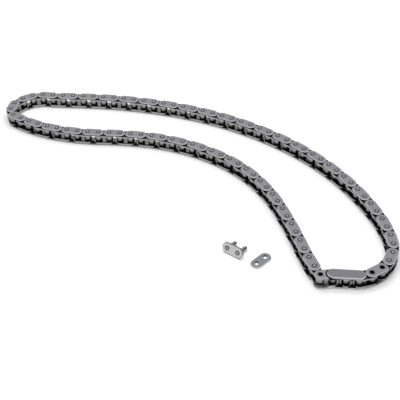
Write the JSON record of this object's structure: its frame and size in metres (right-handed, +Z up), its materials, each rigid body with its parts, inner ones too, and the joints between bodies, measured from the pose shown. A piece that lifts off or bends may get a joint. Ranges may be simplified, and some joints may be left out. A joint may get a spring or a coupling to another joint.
{
  "type": "timing chain",
  "caption": "Roller timing chain lying in an open loop, with a long marker link, an offset link, open joint plates and a loose closing link with its cover plate.",
  "frame": {"origin": "on the floor under the middle of the loop's bounding box", "axes": "+Z up, along every pin; +X to the viewer's right, along the loop's longest side; -Y towards the viewer"},
  "size_m": [0.3248, 0.2494, 0.0114],
  "materials": {
    "outer_plate_steel": "barrelled and heat-treated mid-grey steel, satin",
    "marker_plate_steel": "smooth mid-grey steel, satin",
    "inner_plate_steel": "mid-grey steel, a little warmer, lightly oiled",
    "pin_steel": "ground pin steel, riveted ends bright and marked",
    "bush_steel": "dark oiled steel",
    "roller_steel": "smooth turned steel, oiled",
    "closing_plate_steel": "brighter steel, satin",
    "cover_plate_steel": "slightly blued steel, satin"
  },
  "bodies": {
    "near_run": {"near_run_outer_plates": "outer_plate_steel", "near_run_pins": "pin_steel", "near_run_inner_plates": "inner_plate_steel", "near_run_bushes": "bush_steel", "near_run_rollers": "roller_steel"},
    "left_bend": {"left_bend_outer_plates": "outer_plate_steel", "left_bend_pins": "pin_steel", "left_bend_inner_plates": "inner_plate_steel", "left_bend_bushes": "bush_steel", "left_bend_rollers": "roller_steel"},
    "far_run_left": {"far_run_left_outer_plates": "outer_plate_steel", "far_run_left_pins": "pin_steel", "far_run_left_inner_plates": "inner_plate_steel", "far_run_left_bushes": "bush_steel", "far_run_left_rollers": "roller_steel"},
    "far_run_right": {"far_run_right_outer_plates": "outer_plate_steel", "far_run_right_pins": "pin_steel", "far_run_right_inner_plates": "inner_plate_steel", "far_run_right_bushes": "bush_steel", "far_run_right_rollers": "roller_steel"},
    "near_link_4": {"near_link_4_outer_plates": "outer_plate_steel", "near_link_4_pins": "pin_steel"},
    "near_link_3": {"near_link_3_inner_plates": "inner_plate_steel", "near_link_3_bushes": "bush_steel", "near_link_3_rollers": "roller_steel"},
    "near_link_2": {"near_link_2_outer_plates": "outer_plate_steel", "near_link_2_pins": "pin_steel"},
    "near_link_1": {"near_link_1_inner_plates": "inner_plate_steel", "near_link_1_bushes": "bush_steel"},
    "near_tip_roller": {"near_link_1_tip_roller": "roller_steel"},
    "near_second_roller": {"near_link_1_roller": "roller_steel"},
    "far_link_4": {"far_link_4_outer_plates": "outer_plate_steel", "far_link_4_pins": "pin_steel"},
    "far_link_3": {"far_link_3_inner_plates": "inner_plate_steel", "far_link_3_bushes": "bush_steel", "far_link_3_rollers": "roller_steel"},
    "far_link_2": {"far_link_2_outer_plates": "outer_plate_steel", "far_link_2_pins": "pin_steel"},
    "far_link_1": {"far_link_1_inner_plates": "inner_plate_steel", "far_link_1_bushes": "bush_steel"},
    "far_tip_roller": {"far_link_1_tip_roller": "roller_steel"},
    "far_second_roller": {"far_link_1_roller": "roller_steel"},
    "marker_link": {"marker_plate_top": "marker_plate_steel", "marker_plate_bottom": "marker_plate_steel", "marker_pins": "pin_steel"},
    "middle_eye": {"middle_eye_plates": "inner_plate_steel", "middle_bush": "bush_steel"},
    "middle_eye_roller": {"middle_roller": "roller_steel"},
    "offset_link": {"offset_link_plates": "inner_plate_steel", "offset_link_bush": "bush_steel"},
    "offset_roller": {"offset_link_roller": "roller_steel"},
    "end_link": {"end_link_inner_plates": "inner_plate_steel", "end_link_bushes": "bush_steel"},
    "end_tip_roller": {"end_link_tip_roller": "roller_steel"},
    "end_second_roller": {"end_link_roller": "roller_steel"},
    "open_plate_top": {"open_joint_plate_top": "outer_plate_steel"},
    "open_plate_bottom": {"open_joint_plate_bottom": "outer_plate_steel"},
    "closing_link": {"closing_link_plate": "closing_plate_steel", "closing_link_pins": "pin_steel"},
    "cover": {"cover_plate": "cover_plate_steel"}
  },
  "joints": [
    {"name": "near_link_4_flex", "type": "hinge", "parent": "near_run", "child": "near_link_4", "pos_m": [0.08832, -0.08259, 0.00566], "axis": [0, 0, -1], "range_deg": [0, 60]},
    {"name": "near_link_3_flex", "type": "hinge", "parent": "near_link_4", "child": "near_link_3", "pos_m": [0.09051, -0.09186, 0.00566], "axis": [0, 0, -1], "range_deg": [0, 60]},
    {"name": "near_link_2_flex", "type": "hinge", "parent": "near_link_3", "child": "near_link_2", "pos_m": [0.09312, -0.10102, 0.00566], "axis": [0, 0, -1], "range_deg": [0, 60]},
    {"name": "near_link_1_flex", "type": "hinge", "parent": "near_link_2", "child": "near_link_1", "pos_m": [0.09611, -0.11006, 0.00566], "axis": [0, 0, -1], "range_deg": [0, 60]},
    {"name": "near_tip_roller_spin", "type": "hinge", "parent": "near_link_1", "child": "near_tip_roller", "pos_m": [0.0995, -0.11896, 0.00566], "axis": [0, 0, 1], "continuous": true},
    {"name": "near_second_roller_spin", "type": "hinge", "parent": "near_link_1", "child": "near_second_roller", "pos_m": [0.09611, -0.11006, 0.00566], "axis": [0, 0, 1], "continuous": true},
    {"name": "left_bend_flex", "type": "hinge", "parent": "near_run", "child": "left_bend", "pos_m": [-0.1388, 0.07824, 0.00566], "axis": [0, 0, 1], "range_deg": [0, 60]},
    {"name": "far_run_left_flex", "type": "hinge", "parent": "left_bend", "child": "far_run_left", "pos_m": [-0.11262, 0.11776, 0.00566], "axis": [0, 0, 1], "range_deg": [0, 60]},
    {"name": "far_run_right_flex", "type": "hinge", "parent": "far_run_left", "child": "far_run_right", "pos_m": [0.05875, 0.06685, 0.00566], "axis": [0, 0, 1], "range_deg": [0, 60]},
    {"name": "far_link_4_flex", "type": "hinge", "parent": "far_run_right", "child": "far_link_4", "pos_m": [0.1575, -0.07839, 0.00566], "axis": [0, 0, 1], "range_deg": [0, 60]},
    {"name": "far_link_3_flex", "type": "hinge", "parent": "far_link_4", "child": "far_link_3", "pos_m": [0.15789, -0.08791, 0.00566], "axis": [0, 0, 1], "range_deg": [0, 60]},
    {"name": "far_link_2_flex", "type": "hinge", "parent": "far_link_3", "child": "far_link_2", "pos_m": [0.15588, -0.09722, 0.00566], "axis": [0, 0, 1], "range_deg": [0, 60]},
    {"name": "far_link_1_flex", "type": "hinge", "parent": "far_link_2", "child": "far_link_1", "pos_m": [0.15161, -0.10573, 0.00566], "axis": [0, 0, 1], "range_deg": [0, 60]},
    {"name": "far_tip_roller_spin", "type": "hinge", "parent": "far_link_1", "child": "far_tip_roller", "pos_m": [0.14534, -0.1129, 0.00566], "axis": [0, 0, 1], "continuous": true},
    {"name": "far_second_roller_spin", "type": "hinge", "parent": "far_link_1", "child": "far_second_roller", "pos_m": [0.15161, -0.10573, 0.00566], "axis": [0, 0, 1], "continuous": true},
    {"name": "marker_strand_slide", "type": "slide", "parent": "near_run", "child": "marker_link", "axis": [0, -1, 0], "range_m": [0, 0.04]},
    {"name": "middle_eye_spin", "type": "hinge", "parent": "marker_link", "child": "middle_eye", "pos_m": [0.11848, -0.11919, 0.00566], "axis": [0, 0, 1], "continuous": true},
    {"name": "middle_roller_spin", "type": "hinge", "parent": "middle_eye", "child": "middle_eye_roller", "pos_m": [0.11848, -0.11919, 0.00566], "axis": [0, 0, 1], "continuous": true},
    {"name": "offset_link_flex", "type": "hinge", "parent": "marker_link", "child": "offset_link", "pos_m": [0.109, -0.11825, 0.00566], "axis": [0, 0, 1], "range_deg": [0, 20]},
    {"name": "offset_roller_spin", "type": "hinge", "parent": "offset_link", "child": "offset_roller", "pos_m": [0.109, -0.11825, 0.00566], "axis": [0, 0, 1], "continuous": true},
    {"name": "end_link_flex", "type": "hinge", "parent": "marker_link", "child": "end_link", "pos_m": [0.12796, -0.12014, 0.00566], "axis": [0, 0, -1], "range_deg": [0, 60]},
    {"name": "end_tip_roller_spin", "type": "hinge", "parent": "end_link", "child": "end_tip_roller", "pos_m": [0.1372, -0.11786, 0.00566], "axis": [0, 0, 1], "continuous": true},
    {"name": "end_second_roller_spin", "type": "hinge", "parent": "end_link", "child": "end_second_roller", "pos_m": [0.12796, -0.12014, 0.00566], "axis": [0, 0, 1], "continuous": true},
    {"name": "open_plate_top_lift", "type": "slide", "parent": "near_run", "child": "open_plate_top", "axis": [0, 0, 1], "range_m": [0, 0.03]},
    {"name": "open_plate_bottom_slide", "type": "slide", "parent": "near_run", "child": "open_plate_bottom", "axis": [0.5201, -0.8541, 0], "range_m": [0, 0.03]},
    {"name": "closing_link_lift", "type": "slide", "parent": "near_run", "child": "closing_link", "axis": [0, 0, 1], "range_m": [0, 0.03]},
    {"name": "cover_lift", "type": "slide", "parent": "near_run", "child": "cover", "axis": [0, 0, 1], "range_m": [0, 0.03]}
  ]
}
